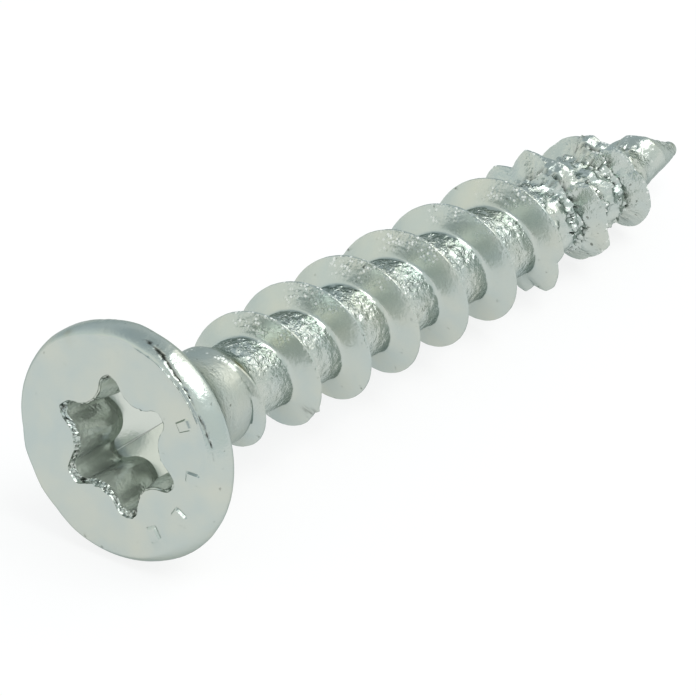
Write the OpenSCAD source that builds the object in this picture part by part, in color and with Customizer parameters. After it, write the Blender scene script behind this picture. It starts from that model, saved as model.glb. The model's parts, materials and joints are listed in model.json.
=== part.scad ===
// Multi-purpose screw with a flat countersunk head, a six-lobe drive recess, a coarse
// wood thread on a thin core, and a sharp point with a notched cutting thread.
// The screw is drawn along +Z from its head face, then laid on its side, as it comes to rest.

/* [Thread] */
// Diameter over the thread crests
thread_d = 4.5; // [4:0.1:5]
// Diameter of the core between the threads
core_d = 2.7; // [2.4:0.1:3]
// Distance from one crest to the next
thread_pitch = 2.6; // [2.2:0.1:3]
// Width of the flat on a crest
crest_w = 0.12; // [0.08:0.02:0.24]
// Angle between the two flanks of the thread
flank_angle = 40; // [30:1:50]

/* [Length] */
// Length from the head face to the point
screw_length = 29.8; // [28:0.1:34]
// Length of the cutting zone, in which the crests fall towards the point
cutting_length = 7.3; // [6.5:0.1:8]
// Length of the core's cone at the point
point_length = 5; // [4:0.1:6]
// Radius of the rounded end of the point
tip_r = 0.28; // [0.2:0.02:0.36]

/* [Cutting notches] */
// Number of notches along the crest
notch_count = 9; // [0:1:9]
// Depth of a notch
notch_depth = 0.3; // [0.1:0.05:0.4]
// Distance between two notches, measured along the screw
notch_step = 0.4; // [0.36:0.01:0.44]

/* [Head] */
// Diameter of the head
head_d = 8.3; // [8:0.1:9]
// Height of the rounded edge and the straight rim of the head
rim_h = 0.8; // [0.6:0.1:1]
// Radius of the rounding between the head face and the rim
rim_round = 0.36; // [0.2:0.02:0.4]
// Diameter of the plain neck below the head
neck_d = 3.4; // [3.2:0.1:3.6]

/* [Drive recess] */
// Distance across the tips of two opposite lobes
recess_d = 4.5; // [4.2:0.1:4.6]
// Distance across the ribs between the lobes
recess_inner_d = 3.24; // [3:0.04:3.4]
// Depth of the recess at its wall
recess_depth = 2.3; // [1.8:0.1:2.4]
// Depth of the pointed floor below the wall
floor_drop = 0.7; // [0.3:0.1:0.9]

/* [Hidden] */

thread_r = thread_d / 2;
core_r = core_d / 2;
head_r = head_d / 2;
neck_r = neck_d / 2;
surface_fn = 96;

// Rounding between the rim and the cone below it, and the place of that rounding's centre
back_round = 0.24;
back_s = rim_h - back_round * tan(22.5);

// Places along the screw, measured from the head face
cone_end = rim_h + head_r - neck_r;
neck_end = cone_end + 1.6;
neck_taper = 1;
ridge_start = neck_end - 0.6;
ridge_full = ridge_start + 1.6 * thread_pitch;
shank_start = neck_end - 1.2;
taper_start = screw_length - cutting_length;
point_start = screw_length - point_length;
dome_start = screw_length - tip_r;

// Thread: the angle of the crest in the plane of the head face, and where the crest is at the point
crest_angle = 37;
shoulder_s = screw_length - 3.8;
shoulder_r = thread_r - 0.35;
ridge_end = dome_start - 0.7;
first_notch = taper_start - 1.63;
notch_half = 0.13;
steps = 40;
turns = ceil(screw_length / thread_pitch) + 3;
sliver = 0.12;

// One pitch of the thread's outline: offset from the crest, and part of the ridge's height
full_ridge = thread_r - core_r;
flank_w = full_ridge * tan(flank_angle / 2);
root_w = crest_w / 2 + flank_w;
fillet_w = 0.16;
outline = [
  [-root_w - fillet_w, 0],
  [-root_w, 0.06],
  [-root_w + 0.2 * flank_w, 0.2],
  [-crest_w / 2, 1],
  [crest_w / 2, 1],
  [root_w - 0.2 * flank_w, 0.2],
  [root_w, 0.06],
  [root_w + fillet_w, 0]
];
columns = len(outline);
rows = columns * turns;

// How the screw lies: on the head's rim and on the last whole crest, with the last notch facing down
last_crest_s = taper_start - 1;
rest_tilt = atan((head_r - thread_r) / (last_crest_s - back_s));
roll_angle = 229;
rest_height = back_round + (head_r - back_round) * cos(rest_tilt) + back_s * sin(rest_tilt);
face_reach = rim_round + (head_r - rim_round) * sin(rest_tilt) - rim_round * cos(rest_tilt);
tip_reach = tip_r + dome_start * cos(rest_tilt);
mid_x = (tip_reach - face_reach) / 2;

// Share of its height that the thread has reached, where it is this far along its start
function risen(u) = lookup(u, [[0, 0], [0.14, 0.5], [0.3, 0.75], [0.62, 0.84], [0.82, 0.95], [1, 1]]);

function core_radius(s) = lookup(s, [[point_start, core_r], [dome_start, tip_r]]);
function crest_radius(s) = lookup(s,
  [[taper_start, thread_r], [shoulder_s, shoulder_r], [ridge_end - 1, core_r - 0.2], [ridge_end, tip_r]]);
function notch_cut(s) = max([0, for (k = [0:1:notch_count - 1])
  notch_depth * (1 - abs(s - first_notch - k * notch_step) / notch_half)]);

// Height of the thread above the core, where the crest is at s
function ridge_height(s) = max(0,
  (crest_radius(s) - core_radius(s)) * risen((s - ridge_start) / (ridge_full - ridge_start))
  - notch_cut(s));

// The shank's surface is a grid: i steps round the screw and j steps from crest to crest
function crest_s(i, j) = thread_pitch * (floor(j / columns) + i / steps - crest_angle / 360);
function grid_s(i, j) = crest_s(i, j) + outline[j % columns][0];
function grid_point(i, j) =
  let (s = grid_s(i, j), r = core_radius(s) + outline[j % columns][1] * ridge_height(crest_s(i, j)))
  [r * cos(360 * i / steps), r * sin(360 * i / steps), s];
function ring_point(i, r, s) = [r * cos(360 * i / steps), r * sin(360 * i / steps), s];

// Number of a grid point in the list of points: the grid is cut off by a ring at each end
function index(i, j) =
  let (turn = floor(i / steps), n = i % steps, row = j + turn * columns, s = grid_s(n, row))
  s < shank_start + sliver ? n
  : s > dome_start - sliver ? steps + n
  : 2 * steps + row * steps + n;

module shank() {
  start_ring = [for (i = [0:steps - 1]) ring_point(i, core_radius(shank_start), shank_start)];
  dome_ring = [for (i = [0:steps - 1]) ring_point(i, tip_r, dome_start)];
  grid = [for (j = [0:rows - 1]) for (i = [0:steps - 1]) grid_point(i, j)];
  dome = [for (a = [30, 60]) for (i = [0:steps - 1])
    ring_point(i, tip_r * cos(a), dome_start + tip_r * sin(a))];
  points = concat(start_ring, dome_ring, grid, dome, [[0, 0, screw_length]]);
  dome_first = 2 * steps + rows * steps;
  top = len(points) - 1;

  sides = [for (j = [0:rows - columns - 2]) for (i = [0:steps - 1])
    for (t = [[index(i, j), index(i + 1, j + 1), index(i + 1, j)],
              [index(i, j), index(i, j + 1), index(i + 1, j + 1)]])
      if (t[0] != t[1] && t[1] != t[2] && t[2] != t[0]) t];
  start_face = [[for (i = [0:steps - 1]) i]];
  dome_faces = [for (i = [0:steps - 1])
    let (n = (i + 1) % steps, low = dome_first, high = dome_first + steps)
    for (t = [[steps + i, low + i, low + n, steps + n],
              [low + i, high + i, high + n, low + n],
              [high + i, top, high + n]]) t];
  polyhedron(points, concat(start_face, sides, dome_faces), convexity = 12);
}

// Points of an arc of radius r about [x, y], from angle a to angle b
function arc(x, y, r, a, b, parts) =
  [for (k = [0:parts]) let (t = a + (b - a) * k / parts) [x + r * cos(t), y + r * sin(t)]];

module head_and_neck() {
  neck_round = 0.8;
  fillet_s = cone_end + neck_round * tan(22.5);
  rotate_extrude($fn = surface_fn)
    polygon(concat(
      [[0, 0]],
      arc(head_r - rim_round, rim_round, rim_round, -90, 0, 4),
      arc(head_r - back_round, back_s, back_round, 0, 45, 3),
      arc(neck_r + neck_round, fillet_s, neck_round, 225, 180, 4),
      [[neck_r, neck_end], [core_r * 0.8, neck_end + neck_taper], [0, neck_end + neck_taper]]));
}

// Outline of the recess: six lobe tips, and six ribs between them
module lobe_outline() {
  tip_arc_r = 0.4;
  tip_c = recess_d / 2 - tip_arc_r;
  rib = recess_inner_d / 2;
  rib_arc_r = (tip_c * tip_c + rib * rib - 2 * tip_c * rib * cos(30) - tip_arc_r * tip_arc_r)
    / (2 * tip_arc_r - 2 * rib + 2 * tip_c * cos(30));
  rib_c = rib + rib_arc_r;
  // Direction from a lobe tip's centre to the next rib's centre, where the two arcs meet
  meet = atan2(rib_c * sin(30), rib_c * cos(30) - tip_c);
  polygon([for (k = [0:5]) each [
    for (p = concat(
      arc(tip_c, 0, tip_arc_r, -meet, meet, 6),
      arc(rib_c * cos(30), rib_c * sin(30), rib_arc_r, meet + 180, 240 - meet, 6)))
      [p[0] * cos(60 * k) - p[1] * sin(60 * k), p[0] * sin(60 * k) + p[1] * cos(60 * k)]]]);
}

module drive_recess() {
  // The lobes sit a little off the plane of the thread's start
  lobe_turn = -2.7;
  lead_in = 0.22;
  mouth = 0.5;
  full_depth = mouth + recess_depth + floor_drop;
  corner_r = recess_inner_d / 2 / cos(30);
  translate([0, 0, -mouth])
    rotate([0, 0, lobe_turn])
      intersection() {
        linear_extrude(full_depth)
          lobe_outline();
        // The punch's six-sided point: one flat faces each rib
        cylinder(h = full_depth, r1 = corner_r * full_depth / floor_drop, r2 = 0, $fn = 6);
      }
  translate([0, 0, -mouth])
    cylinder(h = mouth + lead_in, r1 = recess_d / 2 + 0.1 + mouth, r2 = recess_d / 2 + 0.1 - lead_in,
      $fn = surface_fn);
}

module screw() {
  color("#b4bfb9")
    difference() {
      union() {
        head_and_neck();
        shank();
      }
      drive_recess();
    }
}

module laid_down() {
  translate([-mid_x, 0, rest_height])
    rotate([0, 90 + rest_tilt, 0])
      rotate([0, 0, roll_angle])
        children();
}

laid_down() screw();
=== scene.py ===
# A multi-purpose screw, lying on a pale floor: camera, screw mesh, zinc finish, floor and lamps.
# Lengths are in metres, apart from the screw's own sizes, which are in millimetres as on a drawing.
import json
import math

import bpy
import numpy as np
from mathutils import Matrix, Vector, noise


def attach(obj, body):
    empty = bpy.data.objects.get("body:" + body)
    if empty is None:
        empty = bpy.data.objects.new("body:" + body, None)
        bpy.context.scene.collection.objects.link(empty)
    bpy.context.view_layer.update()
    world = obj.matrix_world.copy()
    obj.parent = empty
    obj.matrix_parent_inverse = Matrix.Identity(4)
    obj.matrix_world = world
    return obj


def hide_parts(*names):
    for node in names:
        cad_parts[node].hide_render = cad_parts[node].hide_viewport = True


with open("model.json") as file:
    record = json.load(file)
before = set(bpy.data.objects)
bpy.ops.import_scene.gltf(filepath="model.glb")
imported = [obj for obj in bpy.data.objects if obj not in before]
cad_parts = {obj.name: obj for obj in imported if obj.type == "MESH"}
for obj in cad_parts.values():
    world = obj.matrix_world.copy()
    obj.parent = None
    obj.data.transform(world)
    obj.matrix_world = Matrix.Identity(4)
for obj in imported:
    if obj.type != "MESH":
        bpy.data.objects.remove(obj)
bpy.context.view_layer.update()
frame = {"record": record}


# Camera
# It stands over the head's side and looks down on the lying screw. The long lens keeps the
# head and the point at nearly the same scale.
view_azimuth = math.radians(-52.13)
view_elevation = math.radians(31.23)
camera_distance = 0.60651
aim_point = Vector((-0.002604, 0, 0.002104))

camera_data = bpy.data.cameras.new("camera")
camera_data.sensor_width = 36
camera_data.lens = 962
camera_data.clip_start = 0.05
camera = bpy.data.objects.new("camera", camera_data)
bpy.context.scene.collection.objects.link(camera)
towards_camera = Vector((
    math.sin(view_azimuth) * math.cos(view_elevation),
    -math.cos(view_azimuth) * math.cos(view_elevation),
    math.sin(view_elevation),
))
camera.location = aim_point + camera_distance * towards_camera
camera.rotation_euler = (-towards_camera).to_track_quat("-Z", "Y").to_euler()
bpy.context.scene.camera = camera


# Drive recess
# A punch presses six lobes into the middle of the head, and its six-sided point leaves a pointed
# floor. The head is a list of rings of points, each with its radius and its depth below the face.
head_steps = 384
step_angle = 2 * math.pi / head_steps
turned_steps = 3
recess_across = 4.5
ribs_across = 3.24
lobe_tip_round = 0.4
recess_depth = 2.3
floor_drop = 0.7
floor_grain = 0.05

# The lobes are turned by a few steps against the plane in which the thread starts
round_the_recess = np.arange(head_steps) * step_angle
round_the_head = (np.arange(head_steps) - turned_steps) * step_angle
head_degrees = np.degrees(round_the_head) % 360
head_rings = []
head_grain = []


def add_row(row_radius, row_depth, grain):
    """Adds a ring of points from the recess outwards. Grain is how rough the metal is there."""
    x = row_radius * np.cos(round_the_head)
    y = row_radius * np.sin(round_the_head)
    head_rings.append(np.stack([x, y, np.broadcast_to(row_depth, head_steps)], 1))
    head_grain.append(grain)


tip_centre = recess_across / 2 - lobe_tip_round
rib = ribs_across / 2
half_lobe = np.pi / 6
rib_round = (
    (tip_centre**2 + rib**2 - 2 * tip_centre * rib * math.cos(half_lobe) - lobe_tip_round**2)
    / (2 * lobe_tip_round - 2 * rib + 2 * tip_centre * math.cos(half_lobe))
)
rib_centre = rib + rib_round
# Angle from a lobe's tip at which the arc of the tip meets the arc of the rib
meeting = math.atan2(
    lobe_tip_round * rib_centre * math.sin(half_lobe),
    (lobe_tip_round + rib_round) * tip_centre
    + lobe_tip_round * (rib_centre * math.cos(half_lobe) - tip_centre),
)

from_tip = np.abs((round_the_recess + half_lobe) % (2 * half_lobe) - half_lobe)
from_rib = half_lobe - from_tip
on_tip = tip_centre * np.cos(from_tip) + np.sqrt(
    np.maximum(lobe_tip_round**2 - (tip_centre * np.sin(from_tip)) ** 2, 0)
)
on_rib = rib_centre * np.cos(from_rib) - np.sqrt(
    np.maximum(rib_round**2 - (rib_centre * np.sin(from_rib)) ** 2, 0)
)
lobe_radius = np.where(from_tip < meeting, on_tip, on_rib)

for share in np.linspace(0.1, 1, 5):
    reach = share * lobe_radius * np.cos(from_rib) / rib
    add_row(share * lobe_radius, recess_depth + floor_drop * (1 - reach), floor_grain)
floor_rows = len(head_rings)
foot_depth = head_rings[-1][:, 2]


# Recess wall and mouth
# The punched wall opens a little towards the mouth and swells on its ribs. On one side the punch
# has torn a rough ledge at the mouth, and on the other side the mouth's edge is only broken.
wall_draft = 0.03
wall_unevenness = 0.05
rib_swelling = 0.13
wall_grain = 0.25
ledge_depth = 0.15
ledge_chipping = 0.035
ledge_grain = 0.5
mouth_chipping = 0.03
mouth_grain = 0.1
torn_lobes = [-60, 60]
torn_lobe_width = 11


def line_through(pairs, place):
    """Height at a place of the straight lines through pairs of place and height."""
    places, heights = zip(*pairs)
    return np.interp(place, places, heights)


def noise_round(tightness, level):
    """Noise round the head. A higher tightness has shorter waves, and each level its own pattern."""
    return np.array([
        noise.noise(Vector((math.cos(angle) * tightness, math.sin(angle) * tightness, own_level)))
        for angle, own_level in zip(round_the_head, np.broadcast_to(level, head_steps))
    ])


chips = [noise_round(22, 2.3 * pattern) for pattern in range(8)]
waves = noise_round(9, 3)
torn = line_through([(0, 0.3), (92, 0.3), (108, 1), (232, 1), (246, 0.3), (360, 0.3)], head_degrees)
torn = torn * (1 + 0.4 * waves)
for lobe in torn_lobes:
    from_lobe = (np.degrees(round_the_recess) - lobe + 180) % 360 - 180
    torn = torn + 0.4 * np.exp(-((from_lobe / torn_lobe_width) ** 2))

on_rib_share = np.clip((from_tip - meeting) / (half_lobe - meeting), 0, 1)
for share in [0.15, 0.32, 0.49, 0.66, 0.83, 0.95, 1]:
    down = foot_depth + share * (ledge_depth - foot_depth)
    uneven = wall_unevenness * noise_round(3, 2.2 * down) * min(1, 4 * (1 - share))
    swelling = rib_swelling * math.sin(math.pi * share) * on_rib_share
    add_row(lobe_radius + wall_draft * share + uneven - swelling, down, wall_grain)
wall_rows_end = len(head_rings)

# Each row of the ledge has its distance from the wall and its depth. Dirt lies on it in patches.
wall_top = lobe_radius + wall_draft
dirt_and_shade_of_rings = {}
for ledge_row, (out, down) in enumerate([(0.04, 0.13), (0.09, 0.1), (0.14, 0.085), (0.18, 0.07)]):
    patches = 5 * (torn - 0.4) * (chips[ledge_row + 3] - 0.05)
    dirt_and_shade_of_rings[len(head_rings)] = np.clip(patches, 0, 0.85)
    add_row(
        wall_top + (out + ledge_chipping * chips[ledge_row]) * torn,
        down * torn * (1 + 1.1 * chips[ledge_row + 1]),
        ledge_grain,
    )
for out in [0.215, 0.24]:
    mouth_radius = wall_top + (out + mouth_chipping * chips[4]) * torn
    add_row(mouth_radius, 0, mouth_grain)


# Head face
# The flat ring round the recess, a little off the head's centre. Four short raised bars stand on
# it, as left by the heading die.
head_radius = 4.15
edge_inset = 0.36
edge_shift = 0.13
narrow_side = math.radians(41)
plain_ring = 2.8
barred_ring = 3.4
bar_steps = [9, 45, 77, 105]
bar_half_steps = 4
bar_inner = 2.83
bar_outer = 3.36
bar_height = 0.088
bar_end = 0.045
face_grain = 0.03

# Knocks have left flats on the head's outline: the angle round the head, and how deep they are
flats = [
    (155, 0), (168, 0.07), (180, 0.025), (190, 0.06), (200, 0.02), (210, 0.085), (221, 0.03), (232, 0),
    (262, 0), (276, 0.05), (290, 0.095), (300, 0.07), (311, 0.02), (321, 0.035), (335, 0),
]
rim_radius = head_radius - line_through(flats, head_degrees)
face_edge = rim_radius - edge_inset - edge_shift * np.cos(round_the_head - narrow_side)

for share in [0.5, 1]:
    add_row(mouth_radius + share * (plain_ring - mouth_radius), 0, face_grain)
for ring_radius in np.linspace(plain_ring, barred_ring, 10)[1:]:
    end_share = np.clip(min(ring_radius - bar_inner, bar_outer - ring_radius) / bar_end, 0, 1)
    raised = np.zeros(head_steps)
    for bar_step in bar_steps:
        across = np.abs(np.arange(head_steps) - turned_steps - bar_step)
        raised = np.maximum(raised, end_share * np.clip(bar_half_steps - across, 0, 1))
    add_row(ring_radius, -bar_height * raised, face_grain)

# A thin burr stands along the edge of the face at one side
along_edge = np.degrees((round_the_head + math.pi) % (2 * math.pi) - math.pi)
burr_height = line_through([(-48, 0), (-38, 0.035), (2, 0.035), (12, 0)], along_edge)
burr_height = burr_height * (1 + 0.8 * chips[5])
for inset, share_of_burr, burr_grain in [(0.06, 0, face_grain), (0.02, 0.3, 0.1), (0, 1, 0.2)]:
    add_row(face_edge - inset, -share_of_burr * burr_height, burr_grain)


# Rim and cone
# Below the face the head has a tight rounding, a barrel-shaped rim and a cone at 45 degrees,
# which runs into the neck with a fillet. All of it is upset from the wire in one blow.
rim_height = 0.8
front_round = 0.14
front_slope = math.radians(44)
barrel_height = 0.62
steepest_barrel = math.radians(67)
back_round = 0.24
cone_slope = math.radians(45)
neck_radius = 1.7
neck_round = 1.8
nick_depth = 0.03
wear_depth = 0.01
rim_grain = 0.15
back_grain = 0.2
cone_grain = 0.3
fillet_grain = 0.4

back_depth = rim_height - back_round * math.tan(cone_slope / 2)
cone_end = rim_height + head_radius - neck_radius
fillet_depth = cone_end + neck_round * math.tan(cone_slope / 2)

# A jagged nick runs beside the burr. Its place and half its width are shares of the barrel's arc.
nick_place = line_through(
    [(-37, 0.44), (-33, 0.38), (-28, 0.31), (-20, 0.14), (-10, 0.09), (4, 0.04), (13, 0.08), (24, 0.2)],
    along_edge,
)
nick_half = line_through(
    [(-42, 0), (-37, 0.08), (-30, 0.09), (-22, 0.07), (-10, 0.05), (4, 0.045), (24, 0.05), (32, 0)],
    along_edge,
)
nick_half = nick_half * (1 + 1.2 * chips[2])
rim_wear = wear_depth * (np.clip(2.5 * waves - 0.3, 0, 1) + np.clip(2 * chips[7] - 0.5, 0, 1))

# The barrel is an arc from the end of the front rounding to the rim, round the whole head
front_radius = face_edge + front_round * math.sin(front_slope)
front_depth = front_round * (1 - math.cos(front_slope))
barrel_out = rim_radius - front_radius
barrel_down = np.minimum(barrel_height, barrel_out * math.tan(steepest_barrel))
barrel_slope = 2 * np.arctan2(barrel_down, barrel_out) - front_slope
barrel_round = barrel_out / (np.sin(barrel_slope) - math.sin(front_slope))

for share in [0.25, 0.5, 0.75, 1]:
    turn = share * front_slope
    add_row(face_edge + front_round * math.sin(turn), front_round * (1 - math.cos(turn)), rim_grain)
for share in [0.06, 0.12, 0.18, 0.25, 0.32, 0.39, 0.46, 0.6, 0.8, 1]:
    turn = front_slope + share * (barrel_slope - front_slope)
    nick = np.clip((nick_half - np.abs(share - nick_place + 0.05 * chips[6])) / 0.05, 0, 1)
    # The nick is painted darker, as painted shade
    dirt_and_shade_of_rings[len(head_rings)] = nick
    barrel_radius = front_radius + barrel_round * (np.sin(turn) - math.sin(front_slope))
    barrel_depth = front_depth + barrel_round * (math.cos(front_slope) - np.cos(turn))
    add_row(
        barrel_radius - nick_depth * nick - share * rim_wear,
        barrel_depth + nick_depth * nick,
        rim_grain,
    )
for turn in np.linspace(0, cone_slope, 4):
    add_row(
        rim_radius - back_round * (1 - math.cos(turn)) - rim_wear * math.cos(2 * turn),
        back_depth + back_round * math.sin(turn),
        back_grain,
    )

cone_top = rim_radius - back_round * (1 - math.cos(cone_slope))
cone_top_depth = back_depth + back_round * math.sin(cone_slope)
cone_foot = neck_radius + neck_round * (1 - math.cos(cone_slope))
cone_foot_depth = fillet_depth - neck_round * math.sin(cone_slope)
for share in [1 / 3, 2 / 3, 1]:
    add_row(
        cone_top + share * (cone_foot - cone_top),
        cone_top_depth + share * (cone_foot_depth - cone_top_depth),
        cone_grain,
    )
for turn in np.linspace(cone_slope, 0, 5)[1:]:
    add_row(
        neck_radius + neck_round * (1 - math.cos(turn)),
        fillet_depth - neck_round * math.sin(turn),
        fillet_grain,
    )


# Shank
# Core, thread and point are one surface, formed by rolling the wire between dies. Its grid follows
# the thread's crest. The die pinches notches and teeth into the crest near the point.
shank_steps = head_steps // 2
thread_pitch = 2.6
thread_radius = 2.25
core_radius = 1.35
crest_angle = 37
screw_length = 29.8
tip_radius = 0.28
plain_neck = 0.08
shank_start = fillet_depth + plain_neck
neck_end = 4.85
neck_runs_under = 0.1
core_start = 5.8
ridge_start = 4.25
ridge_rise = 1.6 * thread_pitch
cone_start = 24.8
dome_start = screw_length - tip_radius
flank_width = 0.33
crest_half = 0.04
foot_rounding = 0.15
crest_rounding = 0.02
last_turn = (26.6, 27.6)
spread_to_head = 0.3
spread_to_point = 0.85
land_width = 0.34
land_fall = 0.25
burr_place = 8.02
crest_burr_height = 0.07
crest_burr_half = 0.014
flattened_by = 0.04

# Crest radius along the toothed end, with each notch and tooth at its depth below the face
toothed_crest = [
    (20.70, thread_radius), (20.81, 2.24), (20.91, 1.96), (20.98, 2.08), (21.12, 2.23), (21.20, 2.20),
    (21.30, 1.91), (21.40, 2.18), (21.47, 2.12), (21.52, 1.96), (21.65, 2.15), (21.80, 2.20),
    (21.95, 1.95), (22.10, 2.20), (22.32, 2.33), (22.38, 2.33), (22.48, 1.90), (22.62, 2.36),
    (22.74, 2.10), (22.90, 2.08), (23.02, 1.82), (23.10, 2.12), (23.25, 2.14), (23.39, 2.08),
    (23.44, 2.03), (23.55, 2.20), (23.63, 2.08), (23.79, 1.89), (23.91, 1.92), (24.11, 1.86),
    (24.28, 1.66), (24.38, 1.98), (24.60, 2.00), (24.72, 1.72), (24.84, 2.00), (25.04, 1.94),
    (25.12, 1.98), (25.27, 1.93), (25.35, 2.00), (25.41, 1.84), (25.60, 1.92), (25.74, 1.76),
    (25.84, 1.92), (25.91, 1.88), (26.07, 1.89), (26.25, 1.76), (26.48, 1.64), (26.67, 1.57),
    (27.00, 1.36), (27.40, 1.20), (27.70, 1.04), (27.79, 1.10), (27.91, 1.05), (28.06, 1.04),
    (28.30, 0.84), (28.80, 0.44),
]

# Distance of the grid's rows from the crest: close together on the crest and at the foot
half_outline = np.array([
    0.014, 0.04, 0.08, 0.15, 0.23, 0.31, 0.352, 0.374, 0.40, 0.44,
    0.48, 0.54, 0.61, 0.70, 0.79, 0.88, 0.97, 1.07, 1.17, 1.26,
])
outline = np.concatenate([-half_outline[::-1], half_outline])
columns = len(outline)
turns = math.ceil(screw_length / thread_pitch) + 3


def smooth_max(a, b, rounding):
    """The larger of a and b, with a rounded corner where they cross."""
    return (a + b + np.sqrt((a - b) ** 2 + rounding**2)) / 2


def smooth_step(value, low, high):
    """Rises smoothly from 0 at low to 1 at high."""
    share = np.clip((value - low) / (high - low), 0, 1)
    return share * share * (3 - 2 * share)


step, row = np.meshgrid(np.arange(shank_steps), np.arange(columns * turns), indexing="xy")
turn_angle = 2 * np.pi * step / shank_steps
offset = outline[row % columns]
from_crest = np.abs(offset)
crest = thread_pitch * (row // columns + step / shank_steps - crest_angle / 360)
depth = crest + offset

point_cone = [(cone_start, core_radius), (dome_start, tip_radius)]
core = line_through(point_cone, depth)
risen = line_through(
    [(0, 0), (0.06, 0.3), (0.14, 0.5), (0.3, 0.75), (0.62, 0.84), (0.82, 0.95), (1, 1)],
    (crest - ridge_start) / ridge_rise,
)
height = risen * np.maximum(line_through(toothed_crest, crest) - line_through(point_cone, crest), 0)

# Near the point the last turn spreads into the cone, so its two sides are wide there
spread = np.where(offset < 0, spread_to_head, spread_to_point)
side = flank_width + spread * smooth_step(crest, *last_turn)

# At two places the crest is rolled over towards the head, which leaves a broad sloping land
rolled = line_through(
    [(22.68, 0), (22.8, 1), (22.95, 1), (23.1, 0), (25.2, 0), (25.34, 1), (25.5, 1), (25.66, 0)], crest
)
rolled = rolled * (offset < 0)
land = crest_half + land_width * rolled
land_drop = land_fall * rolled
flank = 1 - land_drop * np.clip(from_crest / land, 0, 1)
flank = flank - (1 - land_drop) * (from_crest - land) / side * (from_crest > land * rolled)
share_of_height = 1 - smooth_max(1 - smooth_max(flank, 0, foot_rounding), 0, crest_rounding)
neck = line_through([(neck_end, neck_radius), (core_start, core_radius - neck_runs_under)], depth)
base = np.where(depth < cone_start, smooth_max(core, neck, 0.04), core)
radius = base + smooth_max(core + height * share_of_height - base, 0, 0.012)

# A burr and a flattened place past it on one crest
past_burr = crest - burr_place
crest_burr = crest_burr_height * np.exp(-((past_burr / crest_burr_half) ** 2))
flattened = smooth_step(past_burr, 0.01, 0.04) * (1 - smooth_step(past_burr, 0.1, 0.18))
crest_burr = crest_burr - flattened_by * flattened
radius = radius + crest_burr * np.clip(flank, 0, 1) ** 2


# Marks of rolling
# Rolling leaves the core hammered, the crests slightly uneven and the toothed end lumpy. At that
# end the metal is also folded over itself. The neck and one side of the core stay calmer.
neck_to_core = (4.6, 6.5)
lumps_begin = (20.4, 22.5)
lumps_fade = (26.4, 27.8)
lumps_fade_by = 0.85
folds_fade = (27, 27.6)
calm_side = math.radians(65)
calmer_by = 0.7
crease_depth = 0.11
lip_height = 0.08

inside = (depth > shank_start) & (depth < dome_start)
around = np.stack([radius * np.cos(turn_angle), radius * np.sin(turn_angle), depth], -1)
surface_places = [Vector(place) for place in around[inside]]


def noise_on_shank(tightness, shift=(0, 0, 0)):
    """Noise on the shank's surface. A higher tightness has shorter waves."""
    values = np.zeros(depth.shape)
    values[inside] = [noise.noise(place * tightness + Vector(shift)) for place in surface_places]
    return values


dents = noise_on_shank(2.3)
hammer = noise_on_shank(4.5)
pocks = noise_on_shank(10)
folds = np.maximum(0, 1 - 7 * np.abs(noise_on_shank(1.5, shift=(7, 3, 1))))
lumpy = smooth_step(depth, *lumps_begin) * (1 - lumps_fade_by * smooth_step(depth, *lumps_fade))
on_flank = smooth_step(from_crest, 0.05, 0.25)
on_core = smooth_step(from_crest, 0.42, 0.55)
past_neck = smooth_step(depth, *neck_to_core)
rough_side = 1 - calmer_by * smooth_step(np.cos(turn_angle - calm_side), 0.34, 0.77)
rough_core = on_core * past_neck * rough_side

core_marks = 0.02 * dents + 0.06 * hammer + 0.02 * pocks
end_marks = 0.13 * dents + 0.05 * hammer + 0.012 * pocks + 0.05 * folds
crest_marks = 0.006 * dents + 0.004 * hammer + 0.006 * pocks
radius = radius + rough_core * (1 - lumpy) * core_marks
radius = radius + lumpy * on_flank * end_marks
radius = radius + (1 - on_core) * crest_marks

# Two creases with a raised lip follow the foot of the thread, on both sides of it. Each has its
# place, half its width, and the lip's place and width.
creases = np.zeros(depth.shape)
lips = np.zeros(depth.shape)
for crease_place, crease_half, lip_place, lip_width in [
    (0.41 + 0.12 * dents + 0.04 * hammer, 0.06, 0.085, 0.04),
    (0.78 + 0.4 * hammer, 0.08, 0.09, 0.05),
]:
    from_crease = from_crest - crease_place
    creases = np.maximum(creases, 1 - np.abs(from_crease) / crease_half)
    lips = np.maximum(lips, np.exp(-(((from_crease - lip_place) / lip_width) ** 2)))
folded = lumpy * (1 - smooth_step(depth, *folds_fade))
creases = creases * folded
lips = lips * folded * smooth_step(hammer, -0.3, 0.1)
radius = np.maximum(radius - crease_depth * creases + lip_height * lips, 0.9 * tip_radius)
shank_grid = np.stack([radius * np.cos(turn_angle), radius * np.sin(turn_angle), depth], -1)

# How grainy and cracked the shank is from point to point, where it gets painted glints and where it
# is painted darker. On two sides of the screw, one of them the upper side that the light falls on,
# the flanks and crests get coarser grain and painted glints in patches.
glint_and_grain_sides = np.maximum(
    smooth_step(np.cos(turn_angle + math.radians(42)), 0.82, 0.92),
    smooth_step(np.cos(turn_angle - math.radians(170)), 0.8, 0.92),
)
glint_and_grain_patch = glint_and_grain_sides * smooth_step(dents, -0.3, 0.1) * smooth_step(from_crest, 0.36, 0.15)
on_crest = from_crest < 0.05
lump_grain = 0.3 + 0.45 * smooth_step(hammer, -0.1, 0.25)
shank_grain = 0.08 + 0.35 * glint_and_grain_patch + 0.62 * rough_core + 0.4 * on_crest
shank_grain = np.clip(shank_grain + (lump_grain - shank_grain) * lumpy, 0, 1)
shank_grain = np.where(depth < 5.2, np.minimum(shank_grain, 0.35), shank_grain)
shank_cracks = rough_core * (1 - lumpy) * (0.2 + 0.5 * smooth_step(hammer, -0.25, 0.15))
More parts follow.
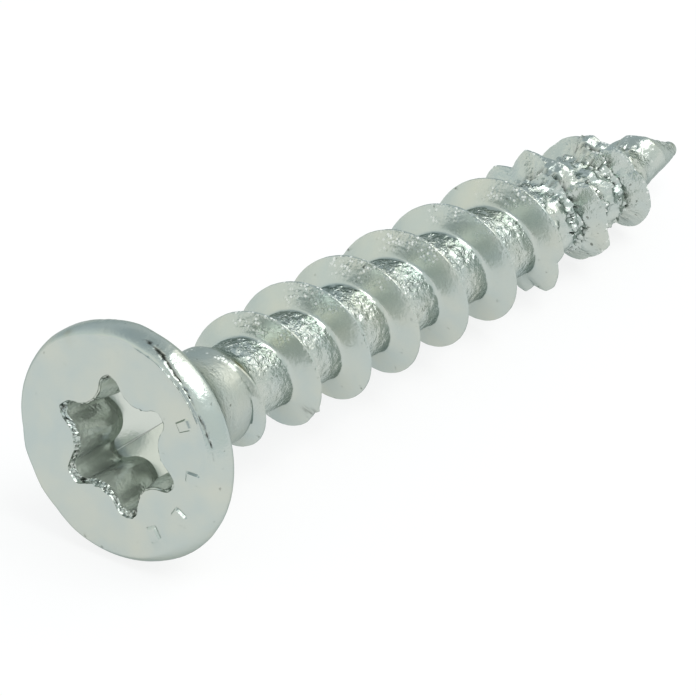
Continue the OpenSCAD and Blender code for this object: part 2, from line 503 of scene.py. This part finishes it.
# Painted glints: on the crests of those two sides, over the rough core, in the patches, and on the crests
# and lips of the lumpy end
shank_painted_glints = np.maximum(0.9 * past_neck * on_crest * glint_and_grain_sides, 0.5 * rough_core)
shank_painted_glints = np.maximum(shank_painted_glints, 1.2 * glint_and_grain_patch)
lump_painted_glints = np.maximum(on_crest, 1.3 * lips) - 0.7 * shank_painted_glints
shank_painted_glints = np.clip(shank_painted_glints + lump_painted_glints * lumpy, 0, 1)
# Painted shade darkens the creases, and the crest is painted darker just beside the burr
beside_burr = np.exp(-(((past_burr - 0.05) / 0.05) ** 2) - ((offset + 0.1) / 0.08) ** 2)
shank_darkening = np.maximum(
    0.9 * creases * smooth_step(pocks, -0.25, 0.05),
    0.6 * beside_burr * smooth_step(pocks, -0.1, 0.2),
)


# The screw as one mesh
# Head rings, shank grid and point are joined into one closed skin, which is turned and laid down
# where the solid lies.
neck_grain = 0.3
point_grain = 0.5
sliver = 0.05
rolled_by = math.radians(229)
points = [(0, 0, recess_depth + floor_drop)]
grains = [floor_grain]
faces = []


def add_ring(ring, ring_grain):
    """Adds a ring of points and gives the number of its first point."""
    first = len(points)
    points.extend(map(tuple, ring))
    grains.extend([ring_grain] * len(ring))
    return first


def plain_ring_at(ring_radius, ring_depth):
    """Points of a round ring on the shank."""
    angles = np.arange(shank_steps) * 2 * np.pi / shank_steps
    depths = np.full(shank_steps, ring_depth)
    return np.stack([ring_radius * np.cos(angles), ring_radius * np.sin(angles), depths], 1)


def join_rings(inner, outer, steps):
    """Adds the faces between two rings that have the same number of points."""
    for i in range(steps):
        n = (i + 1) % steps
        faces.append((inner + i, inner + n, outer + n, outer + i))


rings = [add_ring(ring, ring_grain) for ring, ring_grain in zip(head_rings, head_grain)]
faces += [(0, rings[0] + (i + 1) % head_steps, rings[0] + i) for i in range(head_steps)]
for inner, outer in zip(rings, rings[1:]):
    join_rings(inner, outer, head_steps)

# The head has twice as many steps as the shank, so three triangles join each step of the shank
start_ring = add_ring(plain_ring_at(neck_radius, shank_start), neck_grain)
for i in range(shank_steps):
    n = (i + 1) % shank_steps
    a, b, c = [rings[-1] + (2 * i + turned_steps + k) % head_steps for k in range(3)]
    faces += [(a, b, start_ring + i), (b, start_ring + n, start_ring + i), (b, c, start_ring + n)]
dome_ring = add_ring(plain_ring_at(tip_radius, dome_start), point_grain)

# Grid points beyond the shank's two ends, or just inside them, become points of the end rings
number = np.zeros(depth.shape, dtype=int)
below = depth < shank_start + sliver
above = depth > dome_start - sliver
between = ~(below | above)
number[below] = start_ring + step[below]
number[above] = dome_ring + step[above]
number[between] = len(points) + np.arange(between.sum())
points.extend(map(tuple, shank_grid[between]))
grains.extend(shank_grain[between])

# After one turn round the screw the grid goes on one pitch further, so its last step joins the
# rows of the next pitch
last_row = columns * (turns - 1) - 1
for j in range(last_row):
    for i in range(shank_steps):
        wrap = columns if i == shank_steps - 1 else 0
        n = (i + 1) % shank_steps
        corners = [number[j, i], number[j + wrap, n], number[j + 1 + wrap, n], number[j + 1, i]]
        corners = list(dict.fromkeys(corners))
        if len(corners) > 2:
            faces.append(tuple(corners))

dome_rings = [dome_ring]
for turn in np.radians([18, 36, 54, 72]):
    dome_radius = tip_radius * math.cos(turn)
    dome_depth = dome_start + tip_radius * math.sin(turn)
    dome_rings.append(add_ring(plain_ring_at(dome_radius, dome_depth), point_grain))
for lower, upper in zip(dome_rings, dome_rings[1:]):
    join_rings(lower, upper, shank_steps)
apex = len(points)
points.append((0, 0, screw_length))
grains.append(point_grain)
faces += [(dome_rings[-1] + i, dome_rings[-1] + (i + 1) % shank_steps, apex) for i in range(shank_steps)]

mounts = {mount["name"]: mount for mount in frame["record"]["mounts"]}
face_mount = mounts["drive_recess"]
drop = math.asin(face_mount["axis"][2])
lie_down = (
    Matrix.Translation(face_mount["pos_m"])
    @ Matrix.Rotation(math.pi / 2 + drop, 4, "Y")
    @ Matrix.Rotation(rolled_by, 4, "Z")
    @ Matrix.Scale(0.001, 4)
)
mesh = bpy.data.meshes.new("screw_body")
mesh.from_pydata(points, [], faces)
mesh.transform(lie_down)
mesh.polygons.foreach_set("use_smooth", [True] * len(mesh.polygons))
mesh.set_sharp_from_angle(angle=math.radians(40))
mesh.validate()
screw = bpy.data.objects.new("screw_body", mesh)
bpy.context.scene.collection.objects.link(screw)
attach(screw, "root")
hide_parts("screw")


# Wear, dirt and painted light
# Forming, plating and use leave their marks on the skin of the screw, and painted shade and painted
# glints go with them. Each kind is a value from point to point, which the zinc finish reads.
neck_darkening = 0.07
neck_cracks = 0.12
neck_gloss = -0.8
wall_gloss = 0.8
floor_gloss = 0.3
flank_gloss = 0.12
cleft_shade = 0.4

recess_floor = slice(0, rings[floor_rows])
whole_recess = slice(0, rings[wall_rows_end])
# The last six rings of the head lie on the foot of the cone and on the fillet
neck_side = slice(rings[-6], start_ring + shank_steps)
shank_points = number[between]
on_neck = smooth_step(depth, 5.4, 4.7)[between]
on_plain_flank = (smooth_step(from_crest, 0.38, 0.3) * (1 - lumpy))[between]

# The punch has polished the recess, most of all its wall. The flanks are a little glossy, and the
# neck is dull.
polish = np.zeros(len(points))
polish[whole_recess] = 1
gloss = wall_gloss * polish
gloss[recess_floor] = floor_gloss
gloss[neck_side] = neck_gloss
gloss[shank_points] = flank_gloss * on_plain_flank + neck_gloss * on_neck

# Dirt lies on the torn ledge. Painted shade darkens the nick, the clefts between the floor's six sides
# and the creases, the crest is darker beside the burr, and the neck is a little darker.
dirt_and_shade = np.zeros(len(points))
for ring_number, ring_dirt in dirt_and_shade_of_rings.items():
    dirt_and_shade[rings[ring_number]:rings[ring_number] + head_steps] = ring_dirt
# Painted shade: a dark line along each cleft of the floor
for ring_number in range(floor_rows - 1):
    clefts = from_tip < 1.2 * step_angle
    dirt_and_shade[rings[ring_number]:rings[ring_number] + head_steps] = cleft_shade * clefts
# The neck is painted a little darker, and the shank takes its painted shade in the creases
dirt_and_shade[neck_side] = neck_darkening
dirt_and_shade[shank_points] = np.maximum(shank_darkening[between], neck_darkening * on_neck)

cracked = np.zeros(len(points))
cracked[neck_side] = neck_cracks
cracked[shank_points] = np.maximum(shank_cracks[between], neck_cracks * on_neck)
painted_glints = np.zeros(len(points))
painted_glints[shank_points] = shank_painted_glints[between]

# Golden stain of the plating bath beside the thread's start, and a faint one on the head's edge.
# Each has its depth and angle, length and width, strength, and the radius that it lies beyond.
x, y, point_depth = np.array(points).T
point_angle = np.degrees(np.arctan2(y, x))
stain = np.zeros(len(points))
for stain_depth, stain_angle, length, width, strength, beyond in [
    (5.12, -13, 0.2, 12, 0.95, 1.2),
    (0.12, -85, 0.1, 3, 0.3, 3.75),
]:
    away = ((point_depth - stain_depth) / length) ** 2 + ((point_angle - stain_angle) / width) ** 2
    stain = np.maximum(stain, strength * np.exp(-away) * (np.hypot(x, y) > beyond))

marks = {
    "grain": np.array(grains),
    "stain": stain,
    "polish": polish,
    "gloss": gloss,
    "dirt_and_shade": dirt_and_shade,
    "cracked": cracked,
    "painted_glints": painted_glints,
}
for name, values in marks.items():
    layer = mesh.attributes.new(name, "FLOAT", "POINT")
    layer.data.foreach_set("value", values.astype(np.float32))


# Zinc finish
# Bright zinc over steel: satin on the face and the flanks, rough on the core and the teeth with
# painted glints there, faintly cloudy everywhere, and painted shade in the nick, clefts and creases.
dull_zinc = (0.485, 0.55, 0.53, 1)
light_zinc = (0.565, 0.595, 0.53, 1)
polished_zinc = (0.66, 0.70, 0.645, 1)
glint_white = (0.97, 0.98, 0.95, 1)
bath_gold = (0.30, 0.25, 0.09, 1)
speck_grey = (0.10, 0.11, 0.09, 1)
dirt_and_shade_black = (0.05, 0.055, 0.045, 1)
smoothest_satin = 0.20
roughest_satin = 0.28
gloss_smooths_by = 0.14
gloss_dims_metal_by = 0.38
glint_dot_roughness = 0.45
coarse_relief = 0.00006
fine_relief = 0.00004
crack_wander = 0.0006


def add_node(tree, kind, inputs=None, **settings):
    """Adds a node with its settings. An input is a plain value, or another node's output."""
    node = tree.nodes.new(kind)
    for name, setting in settings.items():
        setattr(node, name, setting)
    for socket, value in (inputs or {}).items():
        if isinstance(value, bpy.types.NodeSocket):
            tree.links.new(value, node.inputs[socket])
        else:
            node.inputs[socket].default_value = value
    return node


zinc = bpy.data.materials.new("bright_zinc")
zinc.use_nodes = True
finish = zinc.node_tree
shader = finish.nodes["Principled BSDF"]
shader.inputs["Specular Tint"].default_value = (0.5, 0.55, 0.54, 1)
place = add_node(finish, "ShaderNodeTexCoord").outputs["Object"]
mark = {}
for name in marks:
    mark[name] = add_node(finish, "ShaderNodeAttribute", attribute_name=name).outputs["Fac"]


def noise_texture(scale, detail):
    """Noise in the metal. A higher scale makes it finer."""
    return add_node(finish, "ShaderNodeTexNoise", {"Vector": place, "Scale": scale, "Detail": detail})


def paint_over(colour_below, colour, share):
    """Paints a colour over the colour below, as thickly as its share says."""
    inputs = {"Fac": share, "Color1": colour_below, "Color2": colour}
    return add_node(finish, "ShaderNodeMixRGB", inputs).outputs["Color"]


cloud = noise_texture(700, 4)
tint = add_node(finish, "ShaderNodeValToRGB", {"Fac": cloud.outputs["Fac"]})
tint.color_ramp.elements[0].position = 0.3
tint.color_ramp.elements[0].color = dull_zinc
tint.color_ramp.elements[1].position = 0.7
tint.color_ramp.elements[1].color = light_zinc

# Dark specks sit wherever the metal has any grain
specks_here = add_node(finish, "ShaderNodeMapRange", {
    "Value": mark["grain"],
    "From Max": 0.3,
    "To Max": 0.7,
})
speck = add_node(finish, "ShaderNodeMapRange", {
    "Value": noise_texture(4200, 1).outputs["Fac"],
    "From Min": 0.72,
    "From Max": 0.77,
    "To Max": specks_here.outputs["Result"],
})
polished = add_node(finish, "ShaderNodeMapRange", {"Value": mark["polish"], "From Min": 0.5})
colour = paint_over(tint.outputs["Color"], speck_grey, speck.outputs["Result"])
colour = paint_over(colour, bath_gold, mark["stain"])
colour = paint_over(colour, polished_zinc, polished.outputs["Result"])
# Dirt, and painted shade in the nick, the clefts and the creases, in near-black
colour = paint_over(colour, dirt_and_shade_black, mark["dirt_and_shade"])

# Painted glints: near-white dots a few hundredths of a millimetre wide, standing in for zinc crystals
# that catch the light
dots = add_node(finish, "ShaderNodeTexVoronoi", {"Vector": place, "Scale": 9000})
some_dots = add_node(
    finish, "ShaderNodeMath", {0: dots.outputs["Color"], 1: 0.56}, operation="GREATER_THAN"
)
dots_here = add_node(
    finish, "ShaderNodeMath", {0: some_dots.outputs[0], 1: mark["painted_glints"]}, operation="MULTIPLY"
)
dot = add_node(finish, "ShaderNodeMapRange", {
    "Value": dots.outputs["Distance"],
    "From Min": 0.5,
    "From Max": 0.3,
    "To Max": dots_here.outputs[0],
})
colour = paint_over(colour, glint_white, dot.outputs["Result"])
finish.links.new(colour, shader.inputs["Base Color"])

# Gloss makes the metal smoother and takes a little of its metal look, as an oxide film does. The
# painted glint dots are rougher.
satin = add_node(finish, "ShaderNodeMapRange", {
    "Value": cloud.outputs["Fac"],
    "To Min": smoothest_satin,
    "To Max": roughest_satin,
})
smoothed = add_node(
    finish,
    "ShaderNodeMath",
    {0: mark["gloss"], 1: -gloss_smooths_by, 2: satin.outputs["Result"]},
    operation="MULTIPLY_ADD",
)
roughness = add_node(
    finish,
    "ShaderNodeMath",
    {0: dot.outputs["Result"], 1: glint_dot_roughness, 2: smoothed.outputs[0]},
    operation="MULTIPLY_ADD",
)
oxide = add_node(
    finish,
    "ShaderNodeMath",
    {0: mark["gloss"], 1: -gloss_dims_metal_by, 2: 1.0},
    operation="MULTIPLY_ADD",
    use_clamp=True,
)
finish.links.new(roughness.outputs[0], shader.inputs["Roughness"])
finish.links.new(oxide.outputs[0], shader.inputs["Metallic"])

# Three kinds of relief lie over each other: coarse grain, a cracked skin and fine grain. Noise
# makes the cracks wander.
coarse_bump = add_node(finish, "ShaderNodeBump", {
    "Height": noise_texture(5200, 3).outputs["Fac"],
    "Strength": mark["grain"],
    "Distance": coarse_relief,
})
wandered = add_node(
    finish,
    "ShaderNodeVectorMath",
    {0: noise_texture(3000, 3).outputs["Color"], 1: [crack_wander] * 3, 2: place},
    operation="MULTIPLY_ADD",
)
cells = add_node(
    finish,
    "ShaderNodeTexVoronoi",
    {"Vector": wandered.outputs["Vector"], "Scale": 2600},
    feature="DISTANCE_TO_EDGE",
)
crack = add_node(finish, "ShaderNodeMapRange", {"Value": cells.outputs["Distance"], "From Max": 0.12})
crack_bump = add_node(finish, "ShaderNodeBump", {
    "Height": crack.outputs["Result"],
    "Strength": mark["cracked"],
    "Distance": fine_relief,
    "Normal": coarse_bump.outputs["Normal"],
})
fine_bump = add_node(finish, "ShaderNodeBump", {
    "Height": noise_texture(10000, 2).outputs["Fac"],
    "Strength": mark["grain"],
    "Distance": fine_relief,
    "Normal": crack_bump.outputs["Normal"],
})
finish.links.new(fine_bump.outputs["Normal"], shader.inputs["Normal"])
mesh.materials.append(zinc)


# Floor
# A plain white sheet of paper, far wider than the screw. It looks white to the camera and in the
# metal, and still takes the screw's soft shadow.
floor_half = 1.5
paper_white = (0.96, 0.96, 0.96, 1)
glow_share = 0.8
floor_mesh = bpy.data.meshes.new("floor")
floor_mesh.from_pydata(
    [
        (-floor_half, -floor_half, 0),
        (floor_half, -floor_half, 0),
        (floor_half, floor_half, 0),
        (-floor_half, floor_half, 0),
    ],
    [],
    [(0, 1, 2, 3)],
)
floor = bpy.data.objects.new("floor", floor_mesh)
bpy.context.scene.collection.objects.link(floor)

paper = bpy.data.materials.new("white_paper")
paper.use_nodes = True
sheet = paper.node_tree
paper_shader = sheet.nodes["Principled BSDF"]
paper_shader.inputs["Base Color"].default_value = paper_white
paper_shader.inputs["Roughness"].default_value = 1.0
paper_shader.inputs["Specular IOR Level"].default_value = 0.0
glow = add_node(sheet, "ShaderNodeEmission")
ray = add_node(sheet, "ShaderNodeLightPath")
seen = ray.outputs["Is Camera Ray"]
for kind_of_ray in ["Is Glossy Ray", "Is Transmission Ray"]:
    either = add_node(sheet, "ShaderNodeMath", {0: seen, 1: ray.outputs[kind_of_ray]}, operation="MAXIMUM")
    seen = either.outputs[0]
glowing = add_node(sheet, "ShaderNodeMath", {0: seen, 1: glow_share}, operation="MULTIPLY")
paper_mix = add_node(
    sheet,
    "ShaderNodeMixShader",
    {"Fac": glowing.outputs[0], 1: paper_shader.outputs[0], 2: glow.outputs[0]},
)
sheet.links.new(paper_mix.outputs[0], sheet.nodes["Material Output"].inputs["Surface"])
floor_mesh.materials.append(paper)


# Tent
# The screw lies in a photographer's tent of thin cloth: white walls, a bluish back, a dim roof and
# a dark opening beside the camera. It is the world, and lights the screw from all sides.
wall_white = (0.86, 0.91, 0.90, 1)
world = bpy.data.worlds.new("tent")
world.use_nodes = True
cloth = world.node_tree
background = cloth.nodes["Background"]
background.inputs["Strength"].default_value = 1.0


def tent_direction(azimuth, elevation):
    """Direction in the tent: azimuth 0 is straight behind the screw, positive to the right."""
    heading = view_azimuth - math.radians(azimuth)
    climb = math.radians(elevation)
    return Vector((
        -math.sin(heading) * math.cos(climb),
        math.cos(heading) * math.cos(climb),
        math.sin(climb),
    ))


# Each patch has its azimuth and elevation, the angles at which it is full and gone, and its colour
tent_patches = [
    (0, 18, 30, 62, (0.62, 0.69, 0.73)),
    (-40, 72, 14, 42, (0.46, 0.53, 0.56)),
    (-112, 15, 10, 28, (1.03, 1.04, 0.99)),
    (-160, 18, 9, 18, (0.41, 0.48, 0.56)),
    (64, 42, 8, 24, (1.6, 1.57, 1.5)),
    (35, 10, 8, 26, (0.66, 0.71, 0.66)),
]
look = add_node(cloth, "ShaderNodeTexCoord").outputs["Generated"]
white_wall = add_node(cloth, "ShaderNodeRGB")
white_wall.outputs[0].default_value = wall_white
so_far = white_wall.outputs[0]
for azimuth, elevation, full_within, gone_beyond, patch_colour in tent_patches:
    towards = add_node(
        cloth,
        "ShaderNodeVectorMath",
        {0: look, 1: tent_direction(azimuth, elevation)},
        operation="DOT_PRODUCT",
    )
    patch = add_node(
        cloth,
        "ShaderNodeMapRange",
        {
            "Value": towards.outputs["Value"],
            "From Min": math.cos(math.radians(gone_beyond)),
            "From Max": math.cos(math.radians(full_within)),
        },
        interpolation_type="SMOOTHSTEP",
    )
    patch_inputs = {"Fac": patch.outputs["Result"], "Color1": so_far, "Color2": (*patch_colour, 1)}
    so_far = add_node(cloth, "ShaderNodeMixRGB", patch_inputs).outputs["Color"]
cloth.links.new(so_far, background.inputs["Color"])
bpy.context.scene.world = world


# Soft box
# A wide lamp hangs high at the right, looks at the screw and gives the white edges.
soft_box_distance = 0.6
soft_box_width = 0.42
soft_box_height = 0.32
soft_box_watts = 1.5
towards_lamp = tent_direction(azimuth=120, elevation=62)
soft_box_data = bpy.data.lights.new("soft_box", "AREA")
soft_box_data.shape = "RECTANGLE"
soft_box_data.size = soft_box_width
soft_box_data.size_y = soft_box_height
soft_box_data.energy = soft_box_watts
soft_box = bpy.data.objects.new("soft_box", soft_box_data)
soft_box.location = soft_box_distance * towards_lamp
soft_box.rotation_euler = towards_lamp.to_track_quat("Z", "Y").to_euler()
bpy.context.scene.collection.objects.link(soft_box)

bpy.context.scene.view_settings.view_transform = "Standard"
